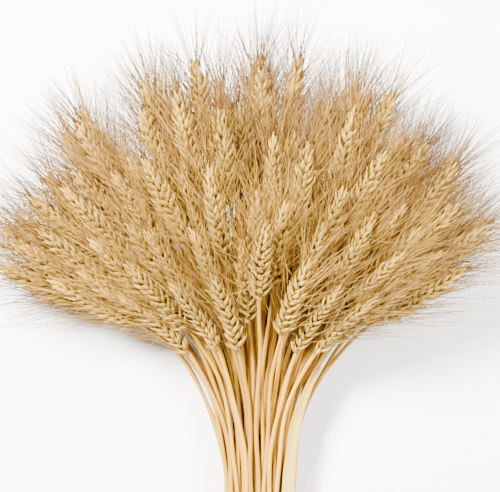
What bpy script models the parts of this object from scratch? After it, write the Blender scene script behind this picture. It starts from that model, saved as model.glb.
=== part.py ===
"""A tied bunch of bearded wheat, lying on its side.

Eighty dry stalks run through one twine tie. Behind the tie are the cut butts.
In front of it the stalks bend outwards and upwards into a wide fan of ears.
+Y runs from the tie to the ears, +Z is up, and the tie's flat underside is at z = 0.
Neighbouring stalks of a row are joined in pairs where the twine presses them together.
"""
import math

import bmesh
import bpy
import numpy as np
from mathutils import Vector

# Stalks in each layer of the bundle, from the lowest layer to the top one.
LAYERS = (6, 10, 12, 12, 12, 12, 10, 6)
PITCH = 0.0041
LAYER_STEP = PITCH * math.sqrt(3.0) / 2.0
BUNDLE_HEIGHT = 0.017
STEM_SIDE = 0.0030
BUTT_LENGTH = 0.062
BUTT_SPLAY = 0.16

# Fan of the stalks: the bend grows along the stalk and ends at BEND_END.
BEND_END = 0.190
BEND_POWER = 2.0
SPREAD = math.radians(61.0)
SPREAD_BIAS = math.radians(3.5)
LAYER_TURN = math.radians(1.5)
LIFT = math.radians(40.0)
STEP = 0.0025
STEPS = 160

# Distance from the tie to the foot of an ear.
REACH_FAR = 0.294
REACH_SIDE = 0.066
REACH_DROP = 0.128
REACH_NEAR = 0.150

# Ear: half width, half thickness as a share of it, and rings of spikelets.
EAR_LENGTH = 0.073
EAR_HEIGHTS = (0.0, 0.004, 0.020, 0.045, 0.066, 0.073)
EAR_WIDTHS = (0.0016, 0.0050, 0.0084, 0.0076, 0.0046, 0.0010)
EAR_FLATNESS = 0.66
EAR_RINGS = 12
SPIKELET_RISE = 0.0018
EAR_GAP = 0.0004

# Awns: base size, clearance, and the spikelet rings that carry one.
AWN_BASE = 0.0007
AWN_TIP = 0.0003
AWN_GAP = 0.0005
AWN_RINGS = (3, 4, 5, 6, 7, 9, 10)
AWN_LENGTH = 0.074
TOP_AWN = 0.056

# Twine tie: inner outline of the sleeve, its turns and the cord's size.
TIE_WIDTH = 0.0279
TIE_HEIGHT = 0.0157
TIE_POWER = 2.5
TIE_TURNS = 5
CORD = 0.0028
TIE_SIDES = 32

# Dry leaf blade that lies on the right of the bundle.
LEAF_SITE = (0.0178, 0.0117)
LEAF_LENGTH = 0.150
LEAF_WIDTH = 0.0115
LEAF_THICK = 0.0008

GOLD = 0.6180339887
STRAW = (0.72, 0.53, 0.27)
TWINE = (0.40, 0.27, 0.14)
LEAF = (0.78, 0.66, 0.45)


def fract(value):
    return value - math.floor(value)


def sites():
    """Places of the stalks in the tie: layer, x, z, side share, height share."""
    places = []
    last = len(LAYERS) - 1
    for layer, count in enumerate(LAYERS):
        shift = PITCH / 4.0 if layer % 2 else -PITCH / 4.0
        half = (count - 1) / 2.0 * PITCH + PITCH / 4.0
        reach = 0.35 + 0.65 * (count / max(LAYERS)) ** 0.6
        for column in range(count):
            x = (column - (count - 1) / 2.0) * PITCH + shift
            z = (layer - last / 2.0) * LAYER_STEP
            places.append((layer, x, z, x / half * reach, layer / last))
    return places


def run(x, z, side, height, turn):
    """Centre line of a stalk from the tie on, with its direction at each point."""
    alpha = SPREAD * side * (1.06 - 0.06 * side * side) - SPREAD_BIAS * side * side + turn
    rise = LIFT * height * (1.0 - 0.3 * side * side)
    along = np.arange(STEPS) * STEP
    bend = np.minimum(1.0, along / BEND_END) ** BEND_POWER
    a = alpha * bend
    e = rise * bend
    heading = np.stack([np.sin(a) * np.cos(e), np.cos(a) * np.cos(e), np.sin(e)], 1)
    line = np.empty((STEPS, 3))
    line[0] = (x, 0.0, z + BUNDLE_HEIGHT)
    line[1:] = line[0] + np.cumsum((heading[1:] + heading[:-1]) / 2.0 * STEP, 0)
    return line, heading


def across(heading):
    """Sideways and upwards directions of a cross-section."""
    side = np.cross(heading, (0.0, 0.0, 1.0))
    side /= np.linalg.norm(side, axis=-1, keepdims=True)
    return side, np.cross(side, heading)


def ear_width(height):
    return np.interp(height, EAR_HEIGHTS, EAR_WIDTHS)


def closeness(one, other):
    """Scaled distance of the ear of one stalk from all of the other stalk; under 1 is a touch."""
    line, heading, foot = one
    line2, _, foot2 = other
    first = int(foot / STEP)
    last = int((foot + EAR_LENGTH) / STEP)
    middle = line[first:last + 1]
    ahead = heading[first:last + 1]
    side, up = across(ahead)
    wide = ear_width(np.arange(len(middle)) * STEP)[:, None]
    points = line2[:int((foot2 + EAR_LENGTH) / STEP) + 1]
    height2 = np.arange(len(points)) * STEP - foot2
    inside = ear_width(np.maximum(height2, 0.0))
    wide2 = np.where(height2 < 0.0, 0.0022, inside)[None]
    thick2 = np.where(height2 < 0.0, 0.0022, inside * EAR_FLATNESS)[None]
    gap = points[None] - middle[:, None]
    along = np.abs((gap * ahead[:, None]).sum(-1))
    a = (gap * side[:, None]).sum(-1) / (wide + wide2 + EAR_GAP)
    b = (gap * up[:, None]).sum(-1) / (wide * EAR_FLATNESS + thick2 + EAR_GAP)
    return float(np.where(along < 0.0035, np.hypot(a, b), 9.0).min())


def reach(side, height, number):
    """Wished distance of the ear's foot, and the furthest one allowed."""
    far = REACH_FAR - REACH_SIDE * side * side
    share = fract(number * GOLD)
    wish = far - 0.004 - REACH_DROP * height ** 1.9
    wish += (share - 0.5) * (0.026 + 0.050 * height)
    return min(far, wish), far


def stalks():
    """All stalks: centre line, heading, foot of the ear and the ear's girth share."""
    places = sites()
    order = sorted(range(len(places)), key=lambda number: -places[number][4])
    done = {}
    for number in order:
        layer, x, z, side, height = places[number]
        turn = LAYER_TURN * (layer - (len(LAYERS) - 1) / 2.0)
        line, heading = run(x, z, side, height, turn)
        wish, far = reach(side, height, number)
        best = (-1.0, wish)
        for trial in range(26):
            foot = wish + ((trial + 1) // 2) * 0.003 * (1 if trial % 2 else -1)
            if foot > far + 0.004 or foot < REACH_NEAR:
                continue
            mine = (line, heading, foot)
            room = 9.0
            for other in done.values():
                room = min(room, closeness(mine, other), closeness(other, mine))
                if room < best[0]:
                    break
            if room > best[0]:
                best = (room, foot)
            if room >= 1.0:
                break
        done[number] = (line, heading, best[1])
    result = []
    for number in range(len(places)):
        mine = done[number]
        room = 9.0
        for other in range(len(places)):
            if other != number:
                room = min(room, closeness(mine, done[other]), closeness(done[other], mine))
        result.append(mine + (min(1.0, max(0.78, room * room - 0.02)),))
    return places, result


def point_on(line, distance):
    """Point and index on a centre line at a distance from the tie."""
    place = distance / STEP
    index = min(int(place), STEPS - 2)
    part = place - index
    return line[index] * (1.0 - part) + line[index + 1] * part, index


def segments_apart(start, end, starts, ends):
    """Closest distance vectors from one segment to many, and the shares along the many."""
    u = end - start
    v = ends - starts
    w = start - starts
    a = float(u @ u)
    b = v @ u
    c = (v * v).sum(1)
    d = w @ u
    e = (v * w).sum(1)
    det = a * c - b * b
    s = np.where(det > 1e-14, (b * e - c * d) / np.where(det > 1e-14, det, 1.0), 0.0)
    s = np.clip(s, 0.0, 1.0)
    t = np.clip((b * s + e) / np.maximum(c, 1e-14), 0.0, 1.0)
    s = np.clip((b * t - d) / a, 0.0, 1.0)
    return (start + s[:, None] * u) - (starts + t[:, None] * v), s, t


def body_segments(lines):
    """Every stalk as short segments with the half sizes of its section."""
    starts = []
    ends = []
    sizes = []
    sides = []
    owner = []
    for number, (line, heading, foot, girth) in enumerate(lines):
        last = int((foot + EAR_LENGTH) / STEP)
        marks = list(range(0, last, 2))
        for index in marks:
            middle = (index + 1) * STEP - foot
            if middle < 0.0:
                size = (0.0022, 0.0022)
            else:
                wide = float(ear_width(middle)) * girth
                size = (wide, wide * EAR_FLATNESS)
            starts.append(line[index])
            ends.append(line[min(index + 2, last)])
            sizes.append(size)
            sides.append(across(heading[index])[0])
            owner.append(number)
    return [np.array(item) for item in (starts, ends, sizes, sides, owner)]


def awn_is_free(start, end, number, bodies, awns):
    """True where an awn keeps clear of the floor, the other stalks and the awns so far."""
    if min(start[2], end[2]) < 0.0012:
        return False
    starts, ends, sizes, sides, owner = bodies
    near = owner != number
    gap, _, _ = segments_apart(start, end, starts[near], ends[near])
    axis = ends[near] - starts[near]
    axis /= np.linalg.norm(axis, axis=1, keepdims=True)
    side = sides[near]
    up = np.cross(side, axis)
    extra = AWN_BASE + AWN_GAP
    a = (gap * side).sum(1) / (sizes[near][:, 0] + extra)
    b = (gap * up).sum(1) / (sizes[near][:, 1] + extra)
    if np.hypot(a, b).min() < 1.0:
        return False
    if awns:
        table = np.array(awns)
        gap, share, other = segments_apart(start, end, table[:, 0], table[:, 1])
        thick = AWN_BASE * (2.2 - share - other)
        if (np.linalg.norm(gap, axis=1) < thick + AWN_TIP).any():
            return False
    return True


def grow(bm, face, corners):
    """Extrudes the end face of a stalk to the next section; a first face stays as the cut end."""
    inner = any(len(edge.link_faces) > 1 for edge in face.edges)
    made = bmesh.ops.extrude_face_region(bm, geom=[face])["geom"]
    cap = next(item for item in made if isinstance(item, bmesh.types.BMFace))
    if inner and face.is_valid:
        bmesh.ops.delete(bm, geom=[face], context="FACES_ONLY")
    for vert, corner in zip(cap.verts, corners):
        vert.co = corner
    return cap


def square(centre, side, up, half):
    """Four corners of a stem section."""
    return [Vector(centre + side * (a * half) + up * (b * half))
            for a, b in ((1, 1), (-1, 1), (-1, -1), (1, -1))]


def butt_centre(x, z, back):
    """Centre of a stalk behind the tie; the cut ends stand slightly apart."""
    splay = 1.0 + BUTT_SPLAY * (back / BUTT_LENGTH) ** 1.5
    return np.array((x * splay * 1.02, -back, z * splay + BUNDLE_HEIGHT))


def model_stalk(bm, place, stalk, number):
    """One stalk with its ear; returns the spikelet tips that can carry awns."""
    layer, x, z, side_share, height = place
    line, heading, foot, girth = stalk
    flat = np.array((1.0, 0.0, 0.0))
    rise = np.array((0.0, 0.0, 1.0))
    half = STEM_SIDE / 2.0
    made = bmesh.ops.create_circle(bm, cap_ends=True, segments=4, radius=half)
    face = made["verts"][0].link_faces[0]
    back = BUTT_LENGTH * (0.86 + 0.14 * fract(number * 0.7548776662))
    for vert, corner in zip(face.verts, square(butt_centre(x, z, back), flat, rise, half)):
        vert.co = corner
    face = grow(bm, face, square(butt_centre(x, z, 0.009), flat, rise, half))
    marks = [0.0085, 0.050, 0.085, 0.115, 0.145, 0.176]
    if abs(side_share) < 0.3 and height < 0.3:
        marks = [0.0085, 0.085, 0.145]
    for distance in [mark for mark in marks if mark < foot - 0.012] + [foot]:
        centre, index = point_on(line, distance)
        side, up = across(heading[index])
        face = grow(bm, face, square(centre, side, up, half))
    tips = []
    for ring in range(1, EAR_RINGS + 1):
        level = EAR_LENGTH * (ring - 0.35) / (EAR_RINGS + 0.2)
        centre, index = point_on(line, foot + level)
        side, up = across(heading[index])
        ahead = heading[index]
        wide = float(ear_width(level)) * girth
        thick = wide * EAR_FLATNESS
        outer = 1 if ring % 2 else -1
        right = 1.0 if outer > 0 else 0.74
        left = 1.0 if outer < 0 else 0.74
        front = 1.0 if ring % 2 else 0.86
        behind = 0.86 if ring % 2 else 1.0
        lift = ahead * SPIKELET_RISE
        corners = [centre + up * (thick * front),
                   centre - side * (wide * left) + lift * (1.0 if outer < 0 else -0.4),
                   centre - up * (thick * behind),
                   centre + side * (wide * right) + lift * (1.0 if outer > 0 else -0.4)]
        for corner in corners:
            corner[2] = max(corner[2], 0.0)
        face = grow(bm, face, [Vector(corner) for corner in corners])
        if ring in AWN_RINGS:
            tips.append((face.verts[3 if outer > 0 else 1], outer, level, ring))
    return face, tips


def model_awns(bm, face, tips, number, stalk, bodies, awns):
    """Draws the awns of one ear out of its spikelet tips."""
    line, heading, foot, girth = stalk
    top, index = point_on(line, foot + EAR_LENGTH)
    ahead = heading[index]
    side, up = across(ahead)
    spire = None
    for share in (1.0, 0.8, 0.6, 0.4, 0.2):
        end = top + ahead * (TOP_AWN * share)
        if awn_is_free(top, end, number, bodies, awns):
            spire = end
            break
    face = grow(bm, face, square(top, side, up, AWN_BASE * 0.8))
    crown = bmesh.ops.poke(bm, faces=[face])["verts"][0]
    crown.co = Vector(spire if spire is not None else top + ahead * 0.003)
    if spire is not None:
        awns.append((top, spire))
    for vert, outer, level, ring in tips:
        start = np.array(vert.co)
        phase = fract((number * 7 + ring) * GOLD)
        reach_out = AWN_LENGTH * (0.88 + 0.24 * phase)
        chosen = None
        for trial in range(24):
            open_out = math.radians((15.0, 11.0, 19.0, 8.0)[trial % 4] + 3.0 * phase)
            lean = math.radians((0.0, 7.0, -7.0)[(trial // 4) % 3] + 6.0 * (phase - 0.5))
            length = reach_out * (1.0 if trial < 12 else 0.6)
            way = ahead + side * (outer * math.tan(open_out)) + up * math.tan(lean)
            way /= np.linalg.norm(way)
            end = start + way * length
            if awn_is_free(start + way * 0.002, end, number, bodies, awns):
                chosen = end
                break
        if chosen is None:
            continue
        made = bmesh.ops.bevel(bm, geom=[vert], offset=AWN_BASE, segments=1, profile=0.5,
                               affect="VERTICES", material=-1)
        base = [item for item in made["faces"] if len(item.verts) == 4]
        base = min(base, key=lambda item: (item.calc_center_median() - Vector(start)).length)
        point = bmesh.ops.poke(bm, faces=[base])["verts"][0]
        point.co = Vector(chosen)
        awns.append((start, chosen))


def join_at_tie(bm, first, second):
    """Joins two neighbouring stems along the short length that the twine presses together."""
    z = first[2] + BUNDLE_HEIGHT
    walls = []
    for x in (first[1] + STEM_SIDE / 2.0, second[1] - STEM_SIDE / 2.0):
        spot = Vector((x, 0.0, z))
        walls.append(min(bm.faces, key=lambda item: (item.calc_center_median() - spot).length))
    rims = [edge for wall in walls for edge in wall.edges]
    bmesh.ops.delete(bm, geom=walls, context="FACES_ONLY")
    bmesh.ops.bridge_loops(bm, edges=rims)


def paint(name, colour, roughness):
    material = bpy.data.materials.new(name)
    material.use_nodes = True
    shader = material.node_tree.nodes["Principled BSDF"]
    shader.inputs["Base Color"].default_value = colour + (1.0,)
    shader.inputs["Roughness"].default_value = roughness
    return material


def finish(bm, name, colour, roughness, smooth):
    """Turns a bmesh into a named object with its own material."""
    bmesh.ops.triangulate(bm, faces=bm.faces[:])
    bmesh.ops.recalc_face_normals(bm, faces=bm.faces[:])
    mesh = bpy.data.meshes.new(name)
    bm.to_mesh(mesh)
    bm.free()
    if smooth:
        mesh.shade_smooth()
    piece = bpy.data.objects.new(name, mesh)
    bpy.context.scene.collection.objects.link(piece)
    mesh.materials.append(paint(name + "_straw", colour, roughness))
    return piece


def outline(width, height, back):
    """One loop round the bundle, flattened on the surface below."""
    loop = []
    for number in range(TIE_SIDES):
        angle = 2.0 * math.pi * number / TIE_SIDES
        c = math.cos(angle)
        s = math.sin(angle)
        x = math.copysign(abs(c) ** (2.0 / TIE_POWER), c) * width
        z = math.copysign(abs(s) ** (2.0 / TIE_POWER), s) * height
        loop.append(Vector((x, back, max(z + BUNDLE_HEIGHT, 0.0))))
    return loop


def model_tie():
    """Turns of twine side by side as one ribbed sleeve, with a knot on top."""
    bm = bmesh.new()
    half = TIE_TURNS * CORD / 2.0
    profile = [(-half, 0.0)]
    for turn in range(TIE_TURNS):
        profile.append((-half + CORD * (turn + 0.18), CORD * 0.72))
        profile.append((-half + CORD * (turn + 0.5), CORD))
        profile.append((-half + CORD * (turn + 0.82), CORD * 0.72))
    profile.append((half, 0.0))
    loops = []
    for back, rise in profile:
        made = bmesh.ops.create_circle(bm, cap_ends=False, segments=TIE_SIDES, radius=0.01)
        for vert, spot in zip(made["verts"], outline(TIE_WIDTH + rise, TIE_HEIGHT + rise, back)):
            vert.co = spot
        loops.append(list({edge for vert in made["verts"] for edge in vert.link_edges}))
    for number, loop in enumerate(loops):
        bmesh.ops.bridge_loops(bm, edges=loop + loops[(number + 1) % len(loops)])
    tie = finish(bm, "twine_tie", TWINE, 0.85, True)
    knot_bm = bmesh.new()
    lump = bmesh.ops.create_icosphere(knot_bm, subdivisions=2, radius=CORD * 1.7)
    bmesh.ops.scale(knot_bm, vec=(1.5, 1.15, 0.75), verts=lump["verts"])
    bmesh.ops.translate(knot_bm, vec=(-0.004, 0.001, BUNDLE_HEIGHT + TIE_HEIGHT + CORD * 1.25),
                        verts=lump["verts"])
    knot = finish(knot_bm, "knot_cutter", TWINE, 0.85, True)
    fuse = tie.modifiers.new("knot", "BOOLEAN")
    fuse.operation = "UNION"
    fuse.solver = "EXACT"
    fuse.object = knot
    bpy.context.view_layer.objects.active = tie
    bpy.ops.object.modifier_apply(modifier=fuse.name)
    bpy.data.objects.remove(knot, do_unlink=True)


def model_leaf():
    """A dry blade that comes out of the tie and curls away over the right side."""
    bm = bmesh.new()
    x, z = LEAF_SITE
    line, heading = run(x, z, 0.95, 1.02, math.radians(5.0))
    made = bmesh.ops.create_circle(bm, cap_ends=True, segments=4, radius=0.001)
    face = made["verts"][0].link_faces[0]
    first = True
    for share in (-0.08, 0.06, 0.16, 0.30, 0.45, 0.60, 0.75, 0.88, 0.97):
        distance = LEAF_LENGTH * share
        if distance < 0.0:
            centre = np.array((x, distance, z + BUNDLE_HEIGHT))
            side = np.array((1.0, 0.0, 0.0))
            up = np.array((0.0, 0.0, 1.0))
        else:
            centre, index = point_on(line, distance)
            side, up = across(heading[index])
        wide = float(np.interp(share, (0.06, 0.26, 0.60, 0.97), (0.0030, LEAF_WIDTH, 0.0080, 0.0016)))
        tilt = math.radians(float(np.interp(share, (0.06, 0.3), (20.0, 26.0))))
        edge = side * math.cos(tilt) - up * math.sin(tilt)
        face_up = up * math.cos(tilt) + side * math.sin(tilt)
        spots = [Vector(centre + edge * (a * wide / 2.0) + face_up * (b * LEAF_THICK / 2.0))
                 for a, b in ((1.5, 1), (-0.5, 1), (-0.5, -1), (1.5, -1))]
        if first:
            for vert, spot in zip(face.verts, spots):
                vert.co = spot
            first = False
        else:
            face = grow(bm, face, spots)
    finish(bm, "dry_leaf", LEAF, 0.6, False)


def main():
    for item in list(bpy.data.objects):
        bpy.data.objects.remove(item, do_unlink=True)
    places, lines = stalks()
    bodies = body_segments(lines)
    awns = []
    number = 0
    pair = 1
    while number < len(places):
        bm = bmesh.new()
        ears = []
        for member in (number, number + 1):
            ears.append(model_stalk(bm, places[member], lines[member], member))
        join_at_tie(bm, places[number], places[number + 1])
        for member, (face, tips) in zip((number, number + 1), ears):
            model_awns(bm, face, tips, member, lines[member], bodies, awns)
        tone = 0.90 + 0.16 * fract(pair * GOLD)
        colour = tuple(min(1.0, part * tone) for part in STRAW)
        finish(bm, "stalk_pair_%02d" % pair, colour, 0.7, False)
        number += 2
        pair += 1
    model_tie()
    model_leaf()


main()
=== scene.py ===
"""A tied bunch of bearded wheat: husks, awns, straws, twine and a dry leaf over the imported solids.

Lengths are in metres. The stalks follow the rule of the solids that they stand for: they cross the
tie in close-packed layers, bend into a fan, and each ear slides along its stalk until it is clear.
"""
import math

import bmesh
import bpy
import numpy as np
from bpy.props import FloatProperty, FloatVectorProperty, IntProperty, PointerProperty
from mathutils import Matrix, Vector


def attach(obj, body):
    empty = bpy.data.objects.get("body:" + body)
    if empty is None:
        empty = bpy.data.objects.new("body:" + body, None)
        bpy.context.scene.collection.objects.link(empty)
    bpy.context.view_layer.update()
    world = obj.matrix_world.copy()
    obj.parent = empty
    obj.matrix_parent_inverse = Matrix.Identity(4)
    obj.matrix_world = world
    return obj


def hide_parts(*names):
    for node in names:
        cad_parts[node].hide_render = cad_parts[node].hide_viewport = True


bl_info = {
    "name": "Bearded Wheat Bunch",
    "version": (1, 0, 0),
    "blender": (4, 5, 0),
    "location": "View3D > Sidebar > Wheat",
    "description": "Dresses the solids of a tied wheat bunch with husks, awns, straw and twine",
    "category": "Add Mesh",
}

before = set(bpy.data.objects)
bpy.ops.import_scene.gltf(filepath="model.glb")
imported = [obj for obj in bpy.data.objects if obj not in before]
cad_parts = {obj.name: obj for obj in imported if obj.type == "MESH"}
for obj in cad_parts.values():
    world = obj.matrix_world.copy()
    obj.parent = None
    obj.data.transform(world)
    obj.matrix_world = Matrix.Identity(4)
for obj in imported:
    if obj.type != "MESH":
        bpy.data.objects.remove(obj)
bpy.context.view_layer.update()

# Layout of the stalks, as in the solids.
LAYERS = (6, 10, 12, 12, 12, 12, 10, 6)
PITCH = 0.0041
LAYER_STEP = PITCH * math.sqrt(3.0) / 2.0
BUNDLE_HEIGHT = 0.017
BUTT_LENGTH = 0.062
BUTT_SPLAY = 0.16
BEND_END = 0.190
BEND_POWER = 2.0
SPREAD = math.radians(61.0)
SPREAD_BIAS = math.radians(3.5)
LAYER_TURN = math.radians(1.5)
LIFT = math.radians(40.0)
STEP = 0.0025
STEPS = 160
REACH_FAR = 0.294
REACH_SIDE = 0.066
REACH_DROP = 0.128
REACH_NEAR = 0.150
EAR_LENGTH = 0.073
EAR_HEIGHTS = (0.0, 0.004, 0.020, 0.045, 0.066, 0.073)
EAR_WIDTHS = (0.0016, 0.0050, 0.0084, 0.0076, 0.0046, 0.0010)
EAR_FLATNESS = 0.66
EAR_GAP = 0.0004
TIE_WIDTH = 0.0279
TIE_HEIGHT = 0.0157
TIE_POWER = 2.5
LEAF_SITE = (0.0178, 0.0117)
LEAF_LENGTH = 0.150
GOLD = 0.6180339887
PLASTIC = 0.7548776662

# Spikelets fill this share of an ear's length; above it three husks and their awns close the tip.
EAR_FILLED = 0.87
TIP_TURNS = (0.0, 2.1, 4.2)

# Lean of the husks and of the awns out of the ear's axis in degrees, at shares of the ear's length.
HUSK_LEAN_SHARES = (0.0, 0.25, 0.75, 1.0)
HUSK_LEANS = (36.0, 31.0, 24.0, 11.0)
AWN_LEAN_SHARES = (0.0, 0.5, 1.0)
AWN_LEANS = (30.0, 18.0, 7.0)

# The six husks of a spikelet: yaw to the ear's face, turn of the back, share of the length, extra lean.
HUSK_PLAN = ((-29.0, 62.0, 0.84, -8.0), (29.0, 62.0, 0.84, -8.0), (-15.0, 30.0, 1.0, 2.0),
             (15.0, 30.0, 1.0, 2.0), (-3.0, 8.0, 0.93, 6.0), (3.0, 8.0, 0.96, -8.0))

# Husks over this share of the length can carry an awn, and some awns swing further out than the rest.
AWNED_SHARE = 0.9
WILD_CHANCE = 0.26
WILD_SWING = 2.5

# Beard and ear patterns of the upper and the lower half of the bunch, and the range of the ears' roll.
UPPER_BEARD = 0.74
UPPER_SEEDS = range(1, 7)
LOWER_BEARD = 0.95
LOWER_SEEDS = range(7, 11)
ROLL = math.radians(56.0)

# Each straw's sections, and how deep its cut end is hollow.
STRAW_SIDES = 8
SECTION_STEP = 0.010
HOLLOW_DEPTH = 0.007

# Dry blades that cling under the straws of the lowest layers, except at the sides of the bunch. They are
# dry leaves in the deepest straw colour, and also painted shade: dark sheets that fill the gaps deep in
# the bunch.
LEAFY_LAYERS = 3
LEAFY_SIDE = 0.72
BLADE_LENGTH = 0.165
BLADE_THICK = 0.0004
BLADE_TONE = 1.2

# Twine: sides of a ply, and the points of one turn, the knot and a tail.
PLY_SIDES = 6
TURN_POINTS = 120
KNOT_POINTS = 96
TAIL_POINTS = 24

# The view: the photograph is 500 by 492 pixels, and its lower edge cuts the stalks here.
VIEW_WIDTH = 500
VIEW_HEIGHT = 492
VIEW_SCALE = 0.00075
VIEW_LOW_EDGE = 0.040
BUNDLE_PIXEL = 259
CAMERA_HEIGHT = 1.3
FLOOR_LIFT = 0.0003
FLOOR_SIZE = 6.0
ROOM_LIGHT = 0.38
LIGHT_TINT = (1.0, 0.985, 0.96)
LIGHTS = (("key", (-0.80, 0.90, 1.25), 0.5, 320.0), ("fill", (0.9, 0.45, 1.2), 0.9, 90.0))


def linear(hex_colour):
    """Linear red, green and blue of an sRGB hex colour."""
    parts = [int(hex_colour[place:place + 2], 16) / 255.0 for place in (1, 3, 5)]
    return tuple(part / 12.92 if part <= 0.04045 else ((part + 0.055) / 1.055) ** 2.4 for part in parts)


def colour(name, description, hex_colour):
    """A colour setting with an sRGB hex default."""
    return FloatVectorProperty(name=name, description=description, subtype="COLOR", size=3,
                               min=0.0, max=1.0, default=linear(hex_colour))


def length(name, description, metres):
    """A length setting with its default in metres."""
    return FloatProperty(name=name, description=description, unit="LENGTH", subtype="DISTANCE",
                         min=0.0, default=metres)


class WheatEarSettings(bpy.types.PropertyGroup):
    """Sizes of an ear and its beard."""
    spikelets: IntProperty(name="Spikelets", description="Spikelets in the two ranks of an ear",
                           min=6, max=30, default=20)
    husk_length: length("Husk length", "Length of the longest husk of a spikelet", 0.0148)
    husk_width: length("Husk width", "Width across the belly of a husk", 0.0043)
    husk_depth: length("Husk depth", "Thickness of a husk with its grain", 0.0033)
    awn_length: length("Awn length", "Mean length of an awn", 0.061)
    awn_radius: length("Awn radius", "Radius at the root of an awn", 0.00036)


class WheatStrawSettings(bpy.types.PropertyGroup):
    """Sizes of the straws and the twine."""
    straw_radius: length("Straw radius", "Radius of a stout straw at the tie", 0.00192)
    neck_radius: length("Neck radius", "Radius of a straw under its ear", 0.00135)
    waver: length("Waver", "How far a straw strays from a smooth bend", 0.0014)
    twine_radius: length("Twine radius", "Radius of the two-ply twine", 0.00138)
    twine_turns: IntProperty(name="Twine turns", description="Turns of twine round the bundle",
                             min=1, max=8, default=5)
    leaf_width: length("Leaf width", "Widest part of the dry leaf blade", 0.0115)


class WheatColourSettings(bpy.types.PropertyGroup):
    """Colours of the dry plant and the twine."""
    husk_pale: colour("Pale husk", "Sunlit side of the husks", "#EABA40")
    # The deep husk colour is painted shade at each husk's foot and inner side and on the ears of the
    # lower layers; it also gives the husks their random tone.
    husk_deep_and_shade: colour("Deep husk", "Husks near their foot", "#3E2405")
    awn_pale: colour("Pale awn", "Awns near the husk", "#CD9D38")
    # The deep awn colour is the real colour of the awn tips and of the darker awns, and painted shade on
    # the ears of the lower layers.
    awn_deep_and_shade: colour("Deep awn", "Tips of the awns", "#553508")
    straw_pale: colour("Pale straw", "Bleached straws", "#D29B1E")
    # The golden straw colour is the real warm colour of some straws, and painted shade on the straws of
    # the lower layers and on the dry blades under them.
    straw_gold_and_shade: colour("Golden straw", "Straws of a warm colour", "#8E6313")
    twine_pale: colour("Pale twine", "Raised fibres of the twine", "#B59C72")
    twine_deep: colour("Deep twine", "Between the plies of the twine", "#7A5E39")
    leaf_pale: colour("Pale leaf", "Dry leaf blade", "#D8BA58")
    leaf_deep: colour("Deep leaf", "Veins and margins of the leaf", "#A87C28")
    floor: colour("Floor", "Plain surface under the bunch", "#F4F3F1")


def fract(value):
    """The part of a number after its point."""
    return value - math.floor(value)


def sites():
    """Places of the stalks in the tie: layer, x, z, side share, height share."""
    places = []
    last = len(LAYERS) - 1
    for layer, count in enumerate(LAYERS):
        shift = PITCH / 4.0 if layer % 2 else -PITCH / 4.0
        half = (count - 1) / 2.0 * PITCH + PITCH / 4.0
        reach_share = 0.35 + 0.65 * (count / max(LAYERS)) ** 0.6
        for column in range(count):
            x = (column - (count - 1) / 2.0) * PITCH + shift
            z = (layer - last / 2.0) * LAYER_STEP
            places.append((layer, x, z, x / half * reach_share, layer / last))
    return places


def run(x, z, side, height, turn):
    """Centre line of a stalk from the tie on, with its direction at each point."""
    alpha = SPREAD * side * (1.06 - 0.06 * side * side) - SPREAD_BIAS * side * side + turn
    rise = LIFT * height * (1.0 - 0.3 * side * side)
    along = np.arange(STEPS) * STEP
    bend = np.minimum(1.0, along / BEND_END) ** BEND_POWER
    a = alpha * bend
    e = rise * bend
    heading = np.stack([np.sin(a) * np.cos(e), np.cos(a) * np.cos(e), np.sin(e)], 1)
    line = np.empty((STEPS, 3))
    line[0] = (x, 0.0, z + BUNDLE_HEIGHT)
    line[1:] = line[0] + np.cumsum((heading[1:] + heading[:-1]) / 2.0 * STEP, 0)
    return line, heading


def across(heading):
    """Sideways and upwards directions of a cross-section."""
    side = np.cross(heading, (0.0, 0.0, 1.0))
    side /= np.linalg.norm(side, axis=-1, keepdims=True)
    return side, np.cross(side, heading)


def ear_width(height):
    """Half width of an ear at a height above its foot."""
    return np.interp(height, EAR_HEIGHTS, EAR_WIDTHS)


def closeness(one, other):
    """Scaled distance of the ear of one stalk from all of the other stalk; under 1 is a touch."""
    line, heading, foot = one
    line2, _, foot2 = other
    first = int(foot / STEP)
    last = int((foot + EAR_LENGTH) / STEP)
    points = line2[:int((foot2 + EAR_LENGTH) / STEP) + 1]
    if np.abs(points - line[(first + last) // 2]).max(1).min() > EAR_LENGTH:
        return 9.0
    middle = line[first:last + 1]
    ahead = heading[first:last + 1]
    side, up = across(ahead)
    wide = ear_width(np.arange(len(middle)) * STEP)[:, None]
    height2 = np.arange(len(points)) * STEP - foot2
    inside = ear_width(np.maximum(height2, 0.0))
    wide2 = np.where(height2 < 0.0, 0.0022, inside)[None]
    thick2 = np.where(height2 < 0.0, 0.0022, inside * EAR_FLATNESS)[None]
    gap = points[None] - middle[:, None]
    along = np.abs((gap * ahead[:, None]).sum(-1))
    a = (gap * side[:, None]).sum(-1) / (wide + wide2 + EAR_GAP)
    b = (gap * up[:, None]).sum(-1) / (wide * EAR_FLATNESS + thick2 + EAR_GAP)
    return float(np.where(along < 0.0035, np.hypot(a, b), 9.0).min())


def reach(side, height, number):
    """Wished distance of the ear's foot, and the furthest one allowed."""
    far = REACH_FAR - REACH_SIDE * side * side
    share = fract(number * GOLD)
    wish = far - 0.004 - REACH_DROP * height ** 1.9
    wish += (share - 0.5) * (0.026 + 0.050 * height)
    return min(far, wish), far


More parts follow.
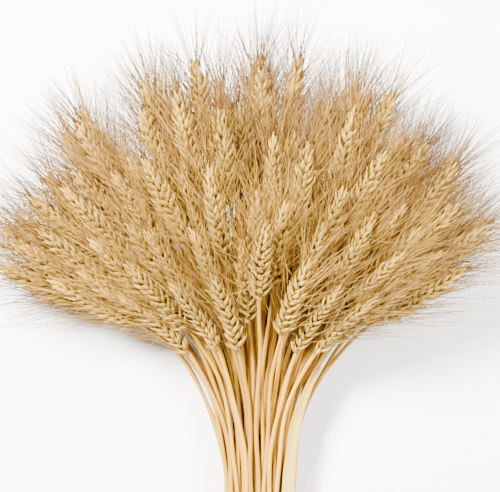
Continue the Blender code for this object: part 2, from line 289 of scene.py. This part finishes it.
def stalks():
    """All stalks: centre line, heading and foot of the ear, then the ear's girth share."""
    places = sites()
    order = sorted(range(len(places)), key=lambda number: -places[number][4])
    done = {}
    for number in order:
        layer, x, z, side, height = places[number]
        turn = LAYER_TURN * (layer - (len(LAYERS) - 1) / 2.0)
        line, heading = run(x, z, side, height, turn)
        wish, far = reach(side, height, number)
        best = (-1.0, wish)
        for trial in range(26):
            foot = wish + ((trial + 1) // 2) * 0.003 * (1 if trial % 2 else -1)
            if foot > far + 0.004 or foot < REACH_NEAR:
                continue
            mine = (line, heading, foot)
            room = 9.0
            for other in done.values():
                room = min(room, closeness(mine, other), closeness(other, mine))
                if room < best[0]:
                    break
            if room > best[0]:
                best = (room, foot)
            if room >= 1.0:
                break
        done[number] = (line, heading, best[1])
    result = []
    for number in range(len(places)):
        mine = done[number]
        room = 9.0
        for other in range(len(places)):
            if other != number:
                room = min(room, closeness(mine, done[other]), closeness(done[other], mine))
        result.append(mine + (min(1.0, max(0.78, room * room - 0.02)),))
    return places, result


def add_node(tree, kind, links=(), values=(), **settings):
    """Adds a node, sets its properties and input values, and links sockets into it."""
    node = tree.nodes.new(kind)
    for name, value in settings.items():
        setattr(node, name, value)
    for name, value in dict(values).items():
        node.inputs[name].default_value = value
    for name, socket in dict(links).items():
        tree.links.new(socket, node.inputs[name])
    return node


def start_material(name):
    """An empty node material with its output; returns the material and its tree."""
    material = bpy.data.materials.get(name) or bpy.data.materials.new(name)
    material.use_nodes = True
    material.node_tree.nodes.clear()
    return material, material.node_tree


def plant_material(name, pale, deep, stretch, grain_depth, roughness, spread, tip_share, streaks):
    """Dry plant skin: two tones mixed per piece, lengthwise fibres, and a fade from foot to tip."""
    material, tree = start_material(name)
    tone = add_node(tree, "ShaderNodeAttribute", attribute_name="tone")
    along = add_node(tree, "ShaderNodeAttribute", attribute_name="along")
    grain = add_node(tree, "ShaderNodeAttribute", attribute_name="grain")
    stretched = add_node(tree, "ShaderNodeMapping", {"Vector": grain.outputs["Vector"]},
                         {"Scale": stretch})
    fibre = add_node(tree, "ShaderNodeTexNoise", {"Vector": stretched.outputs["Vector"]},
                     {"Scale": 1.0, "Detail": 4.0, "Roughness": 0.6})
    blotch = add_node(tree, "ShaderNodeTexNoise", {"Vector": grain.outputs["Vector"]},
                      {"Scale": 0.55, "Detail": 2.0})
    fade = add_node(tree, "ShaderNodeMath", {0: along.outputs["Fac"]}, {1: tip_share},
                    operation="MULTIPLY")
    mixed = add_node(tree, "ShaderNodeMath", {0: tone.outputs["Fac"]}, {1: spread},
                     operation="MULTIPLY")
    share = add_node(tree, "ShaderNodeMath", {0: mixed.outputs[0], 1: fade.outputs[0]},
                     operation="ADD")
    speckle = add_node(tree, "ShaderNodeMath", {0: blotch.outputs["Fac"], 2: share.outputs[0]},
                       {1: 0.5}, operation="MULTIPLY_ADD")
    streak = add_node(tree, "ShaderNodeMath", {0: fibre.outputs["Fac"], 2: speckle.outputs[0]},
                      {1: streaks}, operation="MULTIPLY_ADD")
    level = add_node(tree, "ShaderNodeMapRange", {"Value": streak.outputs[0]},
                     {"From Min": streaks * 0.5, "From Max": streaks * 0.5 + 1.0})
    blend = add_node(tree, "ShaderNodeMix", {"Factor": level.outputs["Result"]},
                     data_type="RGBA", blend_type="MIX")
    blend.inputs["A"].default_value = tuple(pale) + (1.0,)
    blend.inputs["B"].default_value = tuple(deep) + (1.0,)
    bump = add_node(tree, "ShaderNodeBump", {"Height": fibre.outputs["Fac"]},
                    {"Strength": 0.5, "Distance": grain_depth})
    shader = add_node(tree, "ShaderNodeBsdfPrincipled",
                      {"Base Color": blend.outputs["Result"], "Normal": bump.outputs["Normal"]},
                      {"Roughness": roughness, "IOR": 1.47, "Specular IOR Level": 0.4})
    add_node(tree, "ShaderNodeOutputMaterial", {"Surface": shader.outputs["BSDF"]})
    return material


def floor_material(floor):
    """Matt painted board: flat and pale, so it only takes the soft shadow."""
    material, tree = start_material("matt_pale_board")
    shader = add_node(tree, "ShaderNodeBsdfPrincipled",
                      values={"Base Color": tuple(floor) + (1.0,), "Roughness": 0.9})
    add_node(tree, "ShaderNodeOutputMaterial", {"Surface": shader.outputs["BSDF"]})
    return material


def met_once(items):
    """The items in the order in which they are met, each only once."""
    return list(dict.fromkeys(items))


def plant_layers(bm):
    """The attributes that the plant materials read."""
    return (bm.verts.layers.float.new("tone"), bm.verts.layers.float.new("along"),
            bm.verts.layers.float_vector.new("grain"))


def grow(bm, face, corners):
    """Extrudes the end face to the next section; a first face stays as the closed end."""
    inner = any(len(edge.link_faces) > 1 for edge in face.edges)
    made = bmesh.ops.extrude_face_region(bm, geom=[face])["geom"]
    cap = next(item for item in made if isinstance(item, bmesh.types.BMFace))
    if inner and face.is_valid:
        bmesh.ops.delete(bm, geom=[face], context="FACES_ONLY")
    for vert, corner in zip(cap.verts, corners):
        vert.co = corner
    return cap


def to_object(bm, name, materials):
    """A finished bmesh as a smooth object in the scene."""
    bmesh.ops.recalc_face_normals(bm, faces=bm.faces[:])
    mesh = bpy.data.meshes.new(name)
    bm.to_mesh(mesh)
    bm.free()
    for material in materials:
        mesh.materials.append(material)
    mesh.shade_smooth()
    piece = bpy.data.objects.new(name, mesh)
    bpy.context.scene.collection.objects.link(piece)
    return piece


def place_husk(bm, layers, foot, direction, outward, size, tone):
    """One boat-shaped husk from its foot along a direction, its back turned outward."""
    tone_layer, along_layer, grain_layer = layers
    made = bmesh.ops.create_uvsphere(bm, u_segments=6, v_segments=5, radius=0.5)
    verts = made["verts"]
    for vert in verts:
        share = vert.co.z + 0.5
        # Painted shade: the foot and the inner half of each husk are turned toward the deep husk colour,
        # so the gaps between the husks look darker.
        inner = max(0.0, 0.2 - vert.co.y)
        vert[tone_layer] = tone
        vert[along_layer] = min(1.0, max(1.0 - share * 1.6, inner * 1.5))
        vert[grain_layer] = Vector((vert.co.x * 2.0 + tone * 9.0, vert.co.y * 2.0, share * 2.0))
        slim = 1.14 - 0.90 * share * share
        vert.co.x *= slim
        vert.co.y = vert.co.y * slim + 0.9 * (share * (1.0 - share) - 0.10)
    ahead = direction.normalized()
    wide = outward.cross(ahead).normalized()
    back = ahead.cross(wide)
    turn = Matrix((wide, back, ahead)).transposed().to_4x4()
    stretch = Matrix.Diagonal((size[0], size[1], size[2], 1.0))
    raise_up = Matrix.Translation((0.0, 0.0, 0.5))
    bmesh.ops.transform(bm, matrix=Matrix.Translation(foot) @ turn @ stretch @ raise_up, verts=verts)
    for face in met_once(face for vert in verts for face in vert.link_faces):
        face.material_index = 1


def place_awn(bm, layers, foot, start_way, end_way, reach_out, radius, tone, bow):
    """One bristle: a thin three-sided cone that leaves the husk one way and straightens to another."""
    tone_layer, along_layer, grain_layer = layers
    made = bmesh.ops.create_cone(bm, cap_ends=True, segments=3, radius1=1.0, radius2=0.22, depth=1.0)
    edges = met_once(edge for vert in made["verts"] for edge in vert.link_edges)
    long_edges = [edge for edge in edges if abs(edge.verts[0].co.z - edge.verts[1].co.z) > 0.5]
    cut = bmesh.ops.subdivide_edges(bm, edges=long_edges, cuts=4)["geom_split"]
    verts = met_once(vert for edge in cut if isinstance(edge, bmesh.types.BMEdge) for vert in edge.verts)
    side = start_way.cross(Vector((0.3, 0.9, 0.2))).normalized()
    other = start_way.cross(side).normalized()
    for vert in verts:
        share = vert.co.z + 0.5
        turn = 1.0 - (1.0 - share) ** 2
        path = start_way * (share - turn / 2.0) + end_way * (turn / 2.0)
        vert[tone_layer] = tone
        vert[along_layer] = share
        vert[grain_layer] = Vector((vert.co.x + tone * 7.0, vert.co.y, share * 6.0))
        stray = side * (bow * reach_out * math.sin(math.pi * share))
        vert.co = foot + path * reach_out + stray + (side * vert.co.x + other * vert.co.y) * radius
    for face in met_once(face for vert in verts for face in vert.link_faces):
        face.material_index = 2


def way(lean, yaw, rank):
    """Direction that leans out of the ear's axis towards its rank and yaws to its face."""
    return Vector((rank * math.sin(lean), math.sin(yaw), math.cos(lean) * math.cos(yaw))).normalized()


def ear_pattern(ear, seed, beard):
    """One upright ear with its beard as a mesh; ranks lie at +X and -X and the axis is +Z."""
    rng = np.random.default_rng(seed)
    bm = bmesh.new()
    layers = plant_layers(bm)
    pitch = EAR_LENGTH * EAR_FILLED / ear.spikelets
    for number in range(ear.spikelets):
        height = 0.0015 + number * pitch
        share = number / (ear.spikelets - 1)
        rank = 1.0 if number % 2 else -1.0
        girth = float(ear_width(height + 0.007)) / max(EAR_WIDTHS)
        lean = math.radians(float(np.interp(share, HUSK_LEAN_SHARES, HUSK_LEANS)))
        lean += math.radians(rng.uniform(-5.0, 5.0))
        long = ear.husk_length * (0.62 + 0.38 * girth)
        tone = rng.random()
        for yaw, face_turn, share_long, extra in HUSK_PLAN:
            yaw_angle = math.radians(yaw + rng.uniform(-7.0, 7.0)) * (0.6 + 0.4 * girth)
            direction = way(lean + math.radians(extra + rng.uniform(-5.0, 5.0)), yaw_angle, rank)
            turn = math.radians(face_turn) * (1.0 if yaw >= 0.0 else -1.0)
            outward = Vector((rank * math.cos(turn), math.sin(turn), 0.0))
            spot = Vector((rank * 0.0006 * (1.0 - abs(yaw) / 14.0), yaw * 0.000075, height))
            size = (ear.husk_width * (0.70 + 0.30 * girth), ear.husk_depth * (0.65 + 0.35 * girth),
                    long * share_long * rng.uniform(0.90, 1.10))
            place_husk(bm, layers, spot, direction, outward, size, tone * 0.5 + 0.5 * rng.random())
            if share_long > AWNED_SHARE and rng.random() < beard:
                start = spot + direction * (size[2] * 0.95)
                wild = WILD_SWING if rng.random() < WILD_CHANCE else 1.0
                outlook = float(np.interp(share, AWN_LEAN_SHARES, AWN_LEANS))
                end_way = way(math.radians(outlook + rng.uniform(-15.0, 15.0) * wild),
                              yaw_angle * 0.5 + math.radians(rng.uniform(-18.0, 18.0)) * wild, rank)
                reach_out = ear.awn_length * rng.uniform(0.72, 1.10) * (1.0 - 0.2 * share)
                place_awn(bm, layers, start, direction.lerp(end_way, 0.45).normalized(), end_way,
                          reach_out, ear.awn_radius * rng.uniform(0.8, 1.1), rng.random(),
                          rng.uniform(-0.05, 0.05))
    for turn in TIP_TURNS:
        direction = Vector((math.cos(turn) * 0.16, math.sin(turn) * 0.16, 1.0)).normalized()
        foot = Vector((0.0, 0.0, EAR_LENGTH * EAR_FILLED))
        place_husk(bm, layers, foot, direction, Vector((math.cos(turn), math.sin(turn), 0.0)),
                   (ear.husk_width * 0.75, ear.husk_depth * 0.7, ear.husk_length * 0.85), rng.random())
        place_awn(bm, layers, foot + direction * ear.husk_length * 0.8, direction, direction,
                  ear.awn_length * rng.uniform(0.72, 0.84), ear.awn_radius, rng.random(),
                  rng.uniform(-0.04, 0.04))
    bmesh.ops.recalc_face_normals(bm, faces=bm.faces[:])
    mesh = bpy.data.meshes.new("ear_pattern_%d" % seed)
    bm.to_mesh(mesh)
    bm.free()
    return mesh


def points_on(line, distances):
    """Points on a centre line at distances from the tie; past its end the line runs straight on."""
    marks = np.arange(STEPS) * STEP
    return np.stack([np.interp(distances, marks, line[:, axis]) for axis in range(3)], 1)


def set_ear(bm, pattern, stalk, number, height):
    """Copies an ear pattern onto the head of a stalk and bends it along the stalk's line."""
    line, heading, foot, girth = stalk
    copy = pattern.copy()
    count = len(copy.vertices)
    flat = np.empty(count * 3)
    copy.vertices.foreach_get("co", flat)
    local = flat.reshape(-1, 3)
    roll = ROLL * (fract(number * GOLD + 0.2) - 0.5)
    local[:, 2] -= np.maximum(0.0, local[:, 2] - EAR_LENGTH) * 0.08
    bend = (local[:, 2] / EAR_LENGTH) ** 2
    plump = girth * (1.0 if height > 0.5 else 1.12)
    x = (local[:, 0] * math.cos(roll) - local[:, 1] * math.sin(roll)) * plump
    y = (local[:, 0] * math.sin(roll) + local[:, 1] * math.cos(roll)) * plump
    distances = np.minimum(foot + local[:, 2], (STEPS - 1) * STEP)
    over = foot + local[:, 2] - distances
    index = np.clip((distances / STEP).astype(int), 0, STEPS - 1)
    ahead = heading[index]
    side, up = across(ahead)
    x += bend * 0.008 * (fract(number * PLASTIC + 0.6) - 0.5)
    y += bend * 0.005 * (fract(number * GOLD + 0.7) - 0.5)
    placed = points_on(line, distances) + ahead * over[:, None] + side * x[:, None] + up * y[:, None]
    placed[:, 2] = np.maximum(placed[:, 2], FLOOR_LIFT)
    copy.vertices.foreach_set("co", placed.ravel())
    layer_shaded_tones = np.empty(count)
    copy.attributes["tone"].data.foreach_get("value", layer_shaded_tones)
    # Painted shade: the ears of the lower layers, deep in the bunch, get a deeper tone; the rest of the
    # tone varies at random.
    layer_shaded_tones = layer_shaded_tones * 0.6 + 0.25 * fract(number * PLASTIC) + 0.4 - 0.5 * height
    copy.attributes["tone"].data.foreach_set("value", layer_shaded_tones)
    bm.from_mesh(copy)
    bpy.data.meshes.remove(copy)


def set_straw(bm, layers, place, stalk, number, straw):
    """The round straw of one stalk, from its cut butt to inside the ear."""
    tone_layer, along_layer, grain_layer = layers
    x, z, height = place[1], place[2], place[4]
    line, heading, foot = stalk[:3]
    # Painted shade: the straws of the lower layers get a deeper tone; the rest of the tone varies at
    # random from straw to straw.
    tone = 0.7 * fract(number * PLASTIC + 0.37) + 0.35 * (1.0 - height)
    back = BUTT_LENGTH * (0.86 + 0.14 * fract(number * PLASTIC))
    marks = [-back, -back * 0.55, -0.016, 0.0]
    marks += list(np.arange(0.012, foot - 0.006, SECTION_STEP))
    marks += [foot - 0.003, foot, foot + EAR_LENGTH * 0.5]
    made = bmesh.ops.create_circle(bm, cap_ends=True, segments=STRAW_SIDES, radius=straw.straw_radius)
    face = made["verts"][0].link_faces[0]
    cut_end = face
    angles = [2.0 * math.pi * corner / STRAW_SIDES for corner in range(STRAW_SIDES)]
    for section, mark in enumerate(marks):
        if mark < 0.0:
            splay = 1.0 + BUTT_SPLAY * (-mark / BUTT_LENGTH) ** 1.5
            centre = np.array((x * splay * 1.02, mark, z * splay + BUNDLE_HEIGHT))
            side = np.array((1.0, 0.0, 0.0))
            up = np.array((0.0, 0.0, 1.0))
        else:
            centre = points_on(line, np.array([mark]))[0]
            side, up = across(heading[min(int(mark / STEP), STEPS - 1)])
        ease = max(0.0, min(1.0, (mark - 0.02) / 0.05)) * max(0.0, min(1.0, (foot - mark) / 0.04))
        phase = 2.0 * math.pi * fract(number * GOLD)
        centre = centre + side * (straw.waver * ease * math.sin(mark * 52.0 + phase))
        centre = centre + up * (straw.waver * 0.5 * ease * math.cos(mark * 41.0 + phase * 2.0))
        share = max(0.0, min(1.0, mark / foot))
        stout = straw.straw_radius * (0.86 + 0.14 * fract(number * GOLD + 0.5))
        radius = stout + (straw.neck_radius - stout) * share
        if mark == foot:
            radius *= 1.25
        if mark > foot:
            radius *= 0.4
        corners = [Vector(centre + side * (math.cos(angle) * radius) + up * (math.sin(angle) * radius))
                   for angle in angles]
        if section == 0:
            for vert, spot in zip(face.verts, corners):
                vert.co = spot
        else:
            face = grow(bm, face, corners)
        for vert, angle in zip(face.verts, angles):
            vert[tone_layer] = tone
            vert[along_layer] = 1.0 - share
            vert[grain_layer] = Vector((math.cos(angle) + tone * 11.0, math.sin(angle), mark * 100.0))
    for edge in cut_end.edges:
        edge.smooth = False
    bmesh.ops.inset_individual(bm, faces=[cut_end], thickness=straw.straw_radius * 0.32)
    for edge in cut_end.edges:
        edge.smooth = False
    bmesh.ops.inset_individual(bm, faces=[cut_end], thickness=straw.straw_radius * 0.06)
    bmesh.ops.translate(bm, verts=list(cut_end.verts), vec=(0.0, HOLLOW_DEPTH, 0.0))


def set_blade(bm, layers, stalk, number, straw):
    """The dry leaf of a low stalk: it clings under its straw and its edges curl up."""
    tone_layer, along_layer, grain_layer = layers
    line, heading, foot = stalk[:3]
    first = foot * (0.36 + 0.22 * fract(number * GOLD + 0.1))
    widest = straw.leaf_width * (0.90 + 0.25 * fract(number * PLASTIC))
    verts = bmesh.ops.create_grid(bm, x_segments=4, y_segments=14, size=0.5)["verts"]
    for vert in verts:
        share = vert.co.y + 0.5
        place = vert.co.x
        distance = first + BLADE_LENGTH * share
        centre = points_on(line, np.array([distance]))[0]
        side, up = across(heading[min(int(distance / STEP), STEPS - 1)])
        wide = widest * math.sin(math.pi * (0.06 + 0.86 * share)) ** 0.7
        sway = 0.004 * math.sin(share * 4.0 + number)
        drop = straw.straw_radius + BLADE_THICK - (2.0 * place) ** 2 * wide * 0.10
        spot = Vector(centre + side * (place * wide + sway) - up * drop)
        spot.z = max(spot.z, FLOOR_LIFT + 2.0 * BLADE_THICK)
        # Painted shade in part: the blade takes the deepest straw tone, as a dark sheet in the gaps deep
        # in the bunch.
        vert[tone_layer] = BLADE_TONE
        vert[along_layer] = 1.0
        vert[grain_layer] = Vector((place * 6.0, 0.0, distance * 100.0))
        vert.co = spot
    faces = met_once(face for vert in verts for face in vert.link_faces)
    edges = met_once(edge for vert in verts for edge in vert.link_edges)
    bmesh.ops.solidify(bm, geom=faces + edges + verts, thickness=BLADE_THICK)


def superellipse(angle, width, height):
    """A point on the outline of the bundle."""
    c = math.cos(angle)
    s = math.sin(angle)
    return (math.copysign(abs(c) ** (2.0 / TIE_POWER), c) * width,
            math.copysign(abs(s) ** (2.0 / TIE_POWER), s) * height)


def lay_twine(bm, layers, path, radius, first_turn):
    """Two plies twisted round each other along a path; both ends are closed."""
    tone_layer, along_layer, grain_layer = layers
    ply = radius * 0.56
    twist = 2.0 * math.pi / (radius * 4.2)
    angles = [2.0 * math.pi * corner / PLY_SIDES for corner in range(PLY_SIDES)]
    for strand in (0, 1):
        made = bmesh.ops.create_circle(bm, cap_ends=True, segments=PLY_SIDES, radius=ply)
        face = made["verts"][0].link_faces[0]
        travelled = 0.0
        for place, point in enumerate(path):
            after = path[min(place + 1, len(path) - 1)]
            before = path[max(place - 1, 0)]
            ahead = (after - before).normalized()
            if place:
                travelled += (point - path[place - 1]).length
            side = ahead.cross(Vector((0.02, 1.0, 0.01))).normalized()
            up = ahead.cross(side)
            angle = first_turn + travelled * twist + strand * math.pi
            centre = point + (side * math.cos(angle) + up * math.sin(angle)) * (radius * 0.46)
            corners = []
            for around in angles:
                spot = centre + (side * math.cos(around) + up * math.sin(around)) * ply
                spot.z = max(spot.z, FLOOR_LIFT)
                corners.append(spot)
            if place == 0:
                for vert, spot in zip(face.verts, corners):
                    vert.co = spot
            else:
                face = grow(bm, face, corners)
            for vert, around in zip(face.verts, angles):
                vert[tone_layer] = 0.4 * strand
                vert[along_layer] = 0.5 + 0.5 * math.sin(angle)
                vert[grain_layer] = Vector((math.cos(around) + strand * 5.0, math.sin(around),
                                            travelled * 400.0))


class WHEAT_OT_stalks(bpy.types.Operator):
    """Models every straw with its bearded ear, two stalks to a piece"""
    bl_idname = "wheat.stalks"
    bl_label = "Stalks and ears"

    def execute(self, context):
        ear = context.scene.wheat_ear
        straw = context.scene.wheat_straw
        tint = context.scene.wheat_colour
        # Dry straw: a smooth, silky skin with lengthwise fibres, so it has a soft sheen.
        # The fibres are drawn 0.4 mm apart, because their real 0.15 mm would not show.
        straw_skin = plant_material("dry_straw_skin", tint.straw_pale, tint.straw_gold_and_shade,
                                    (4.5, 4.5, 0.10), 0.0003, 0.52, 0.75, 0.15, 1.1)
        # Dry husk: papery and ribbed, pale at the tip; the warm brown at each husk's foot and inner side
        # is painted shade between the husks.
        # The ribs lie 0.4 mm apart, as on a real husk.
        husk_paper = plant_material("dry_husk_paper", tint.husk_pale, tint.husk_deep_and_shade,
                                    (5.5, 5.5, 0.6), 0.0004, 0.58, 0.40, 0.55, 1.3)
        # Dry awn: stiff, slightly glossy bristle, whose tone wanders every 12 mm or so.
        awn_bristle = plant_material("dry_awn_bristle", tint.awn_pale, tint.awn_deep_and_shade,
                                     (1.0, 1.0, 0.8), 0.0001, 0.50, 0.95, 0.10, 0.5)
        upper = [ear_pattern(ear, seed, UPPER_BEARD) for seed in UPPER_SEEDS]
        lower = [ear_pattern(ear, seed, LOWER_BEARD) for seed in LOWER_SEEDS]
        places, lines = stalks()
        for pair in range(len(places) // 2):
            bm = bmesh.new()
            layers = plant_layers(bm)
            for number in (pair * 2, pair * 2 + 1):
                set_straw(bm, layers, places[number], lines[number], number, straw)
                if places[number][0] < LEAFY_LAYERS and abs(places[number][3]) < LEAFY_SIDE:
                    set_blade(bm, layers, lines[number], number, straw)
            for number in (pair * 2, pair * 2 + 1):
                height = places[number][4]
                patterns = upper if height > 0.5 else lower
                pattern = patterns[(number * 5 + number // 8) % len(patterns)]
                set_ear(bm, pattern, lines[number], number, height)
            name = "stalk_pair_%02d" % (pair + 1)
            piece = to_object(bm, "bearded_" + name, (straw_skin, husk_paper, awn_bristle))
            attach(piece, "root")
            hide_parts(name)
        for pattern in upper + lower:
            bpy.data.meshes.remove(pattern)
        return {"FINISHED"}


class WHEAT_OT_tie(bpy.types.Operator):
    """Winds two-ply twine round the bundle and knots it on top"""
    bl_idname = "wheat.tie"
    bl_label = "Twine tie"

    def execute(self, context):
        straw = context.scene.wheat_straw
        tint = context.scene.wheat_colour
        # Plant-fibre twine: matt and hairy, darker between its plies.
        # Its fibres are drawn 0.25 mm wide and 7 mm long, because their real 0.05 mm would not show.
        fibre = plant_material("plant_fibre_twine", tint.twine_pale, tint.twine_deep,
                               (3.0, 3.0, 0.35), 0.0004, 0.85, 0.3, 0.45, 0.8)
        bm = bmesh.new()
        layers = plant_layers(bm)
        radius = straw.twine_radius
        turns = straw.twine_turns
        path = []
        count = turns * TURN_POINTS
        for place in range(count + 1):
            angle = math.radians(100.0) + 2.0 * math.pi * turns * place / count
            x, z = superellipse(angle, TIE_WIDTH + radius, TIE_HEIGHT + radius)
            y = (place / count - 0.5) * radius * 2.0 * (turns - 1)
            height = max(z + BUNDLE_HEIGHT, radius * 1.02)
            path.append(Vector((x, y, height)))
        lay_twine(bm, layers, path, radius, 0.0)
        knot = []
        centre = Vector((-0.004, 0.001, BUNDLE_HEIGHT + TIE_HEIGHT + radius * 2.5))
        for place in range(KNOT_POINTS + 1):
            t = 2.0 * math.pi * place / KNOT_POINTS
            x = (math.sin(t) + 2.0 * math.sin(2.0 * t)) * 0.00150
            y = (math.cos(t) - 2.0 * math.cos(2.0 * t)) * 0.00125
            z = -math.sin(3.0 * t) * radius * 0.95
            knot.append(centre + Vector((x, y, z)))
        lay_twine(bm, layers, knot, radius * 0.92, 0.6)
        for sweep in (-1.0, 1.0):
            tail = []
            for place in range(TAIL_POINTS + 1):
                t = place / TAIL_POINTS
                end = Vector((sweep * (0.001 + 0.011 * t), 0.003 + 0.010 * t * t, 0.0))
                tail.append(centre + end + Vector((0.0, 0.002 * sweep, -radius * (0.3 + 1.1 * t))))
            lay_twine(bm, layers, tail, radius * 0.85, 0.3 + sweep)
        piece = to_object(bm, "wound_twine", (fibre,))
        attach(piece, "root")
        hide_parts("twine_tie")
        return {"FINISHED"}


class WHEAT_OT_leaf(bpy.types.Operator):
    """Models the dry leaf blade on the right of the bundle"""
    bl_idname = "wheat.leaf"
    bl_label = "Dry leaf"

    def execute(self, context):
        straw = context.scene.wheat_straw
        tint = context.scene.wheat_colour
        # Dry leaf: a thin matt blade with veins along it, 0.27 mm apart as on a real leaf.
        blade = plant_material("dry_leaf_blade", tint.leaf_pale, tint.leaf_deep,
                               (7.0, 0.5, 0.06), 0.0004, 0.62, 0.3, 0.3, 1.4)
        bm = bmesh.new()
        tone_layer, along_layer, grain_layer = plant_layers(bm)
        bmesh.ops.create_grid(bm, x_segments=8, y_segments=44, size=0.5)
        x0, z0 = LEAF_SITE
        line, heading = run(x0, z0, 0.95, 1.02, math.radians(5.0))
        for vert in bm.verts:
            share = -0.08 + (vert.co.y + 0.5) * 1.05
            place = vert.co.x
            distance = LEAF_LENGTH * share
            if distance < 0.0:
                centre = np.array((x0, distance, z0 + BUNDLE_HEIGHT))
                side = np.array((1.0, 0.0, 0.0))
                up = np.array((0.0, 0.0, 1.0))
            else:
                centre = points_on(line, np.array([distance]))[0]
                side, up = across(heading[int(distance / STEP)])
            wide = float(np.interp(share, (0.06, 0.26, 0.60, 0.97),
                                   (0.0030, straw.leaf_width, 0.0080, 0.0012)))
            tilt = math.radians(float(np.interp(share, (0.06, 0.3), (20.0, 26.0))))
            edge = side * math.cos(tilt) - up * math.sin(tilt)
            face_up = up * math.cos(tilt) + side * math.sin(tilt)
            curl = (abs(place) * 2.0) ** 2 * wide * 0.06 + 0.0003 * math.sin(share * 31.0 + place * 3.0)
            spot = centre + edge * ((place + 0.25) * wide) + face_up * curl
            vert[tone_layer] = 0.2
            vert[along_layer] = abs(place) * 2.0
            vert[grain_layer] = Vector((place * 6.0, 0.0, distance * 100.0))
            vert.co = Vector(spot)
        bmesh.ops.solidify(bm, geom=bm.faces[:] + bm.edges[:] + bm.verts[:], thickness=0.0004)
        piece = to_object(bm, "dry_leaf_blade", (blade,))
        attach(piece, "root")
        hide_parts("dry_leaf")
        return {"FINISHED"}


class WHEAT_OT_stage(bpy.types.Operator):
    """Sets the pale floor, the soft lights and the camera that looks down on the bunch"""
    bl_idname = "wheat.stage"
    bl_label = "Stage"

    def execute(self, context):
        scene = context.scene
        bm = bmesh.new()
        bmesh.ops.create_grid(bm, x_segments=1, y_segments=1, size=FLOOR_SIZE)
        floor = to_object(bm, "floor", (floor_material(scene.wheat_colour.floor),))
        world = bpy.data.worlds.new("soft_room")
        world.use_nodes = True
        room = world.node_tree.nodes["Background"]
        room.inputs["Color"].default_value = (1.0, 1.0, 1.0, 1.0)
        room.inputs["Strength"].default_value = ROOM_LIGHT
        scene.world = world
        middle = Vector(((VIEW_WIDTH / 2.0 - BUNDLE_PIXEL) * VIEW_SCALE,
                         VIEW_LOW_EDGE + VIEW_HEIGHT / 2.0 * VIEW_SCALE, 0.0))
        for name, place, size, power in LIGHTS:
            data = bpy.data.lights.new(name, "AREA")
            data.shape = "DISK"
            data.size = size
            data.energy = power
            data.color = LIGHT_TINT
            light = bpy.data.objects.new(name, data)
            light.location = place
            light.rotation_euler = (middle - Vector(place)).to_track_quat("-Z", "Y").to_euler()
            scene.collection.objects.link(light)
        data = bpy.data.cameras.new("camera")
        data.sensor_width = 36.0
        data.lens = 36.0 * CAMERA_HEIGHT / (VIEW_WIDTH * VIEW_SCALE)
        camera = bpy.data.objects.new("camera", data)
        camera.location = middle + Vector((0.0, 0.0, CAMERA_HEIGHT))
        scene.collection.objects.link(camera)
        scene.camera = camera
        return {"FINISHED"}


class WHEAT_PT_panel(bpy.types.Panel):
    """Lists the pieces of the bunch and their sizes and colours"""
    bl_label = "Wheat bunch"
    bl_idname = "WHEAT_PT_panel"
    bl_space_type = "VIEW_3D"
    bl_region_type = "UI"
    bl_category = "Wheat"

    def draw(self, context):
        for group in (context.scene.wheat_ear, context.scene.wheat_straw, context.scene.wheat_colour):
            box = self.layout.box()
            for name in group.bl_rna.properties.keys():
                if name not in ("rna_type", "name"):
                    box.prop(group, name)
        for operator in OPERATORS:
            self.layout.operator(operator.bl_idname)


OPERATORS = (WHEAT_OT_stage, WHEAT_OT_stalks, WHEAT_OT_tie, WHEAT_OT_leaf)
CLASSES = (WheatEarSettings, WheatStrawSettings, WheatColourSettings) + OPERATORS + (WHEAT_PT_panel,)


def register():
    for item in CLASSES:
        bpy.utils.register_class(item)
    bpy.types.Scene.wheat_ear = PointerProperty(type=WheatEarSettings)
    bpy.types.Scene.wheat_straw = PointerProperty(type=WheatStrawSettings)
    bpy.types.Scene.wheat_colour = PointerProperty(type=WheatColourSettings)


def unregister():
    del bpy.types.Scene.wheat_colour
    del bpy.types.Scene.wheat_straw
    del bpy.types.Scene.wheat_ear
    for item in reversed(CLASSES):
        bpy.utils.unregister_class(item)


def main():
    register()
    bpy.ops.wheat.stage()
    bpy.ops.wheat.stalks()
    bpy.ops.wheat.tie()
    bpy.ops.wheat.leaf()


if __name__ == "__main__":
    main()
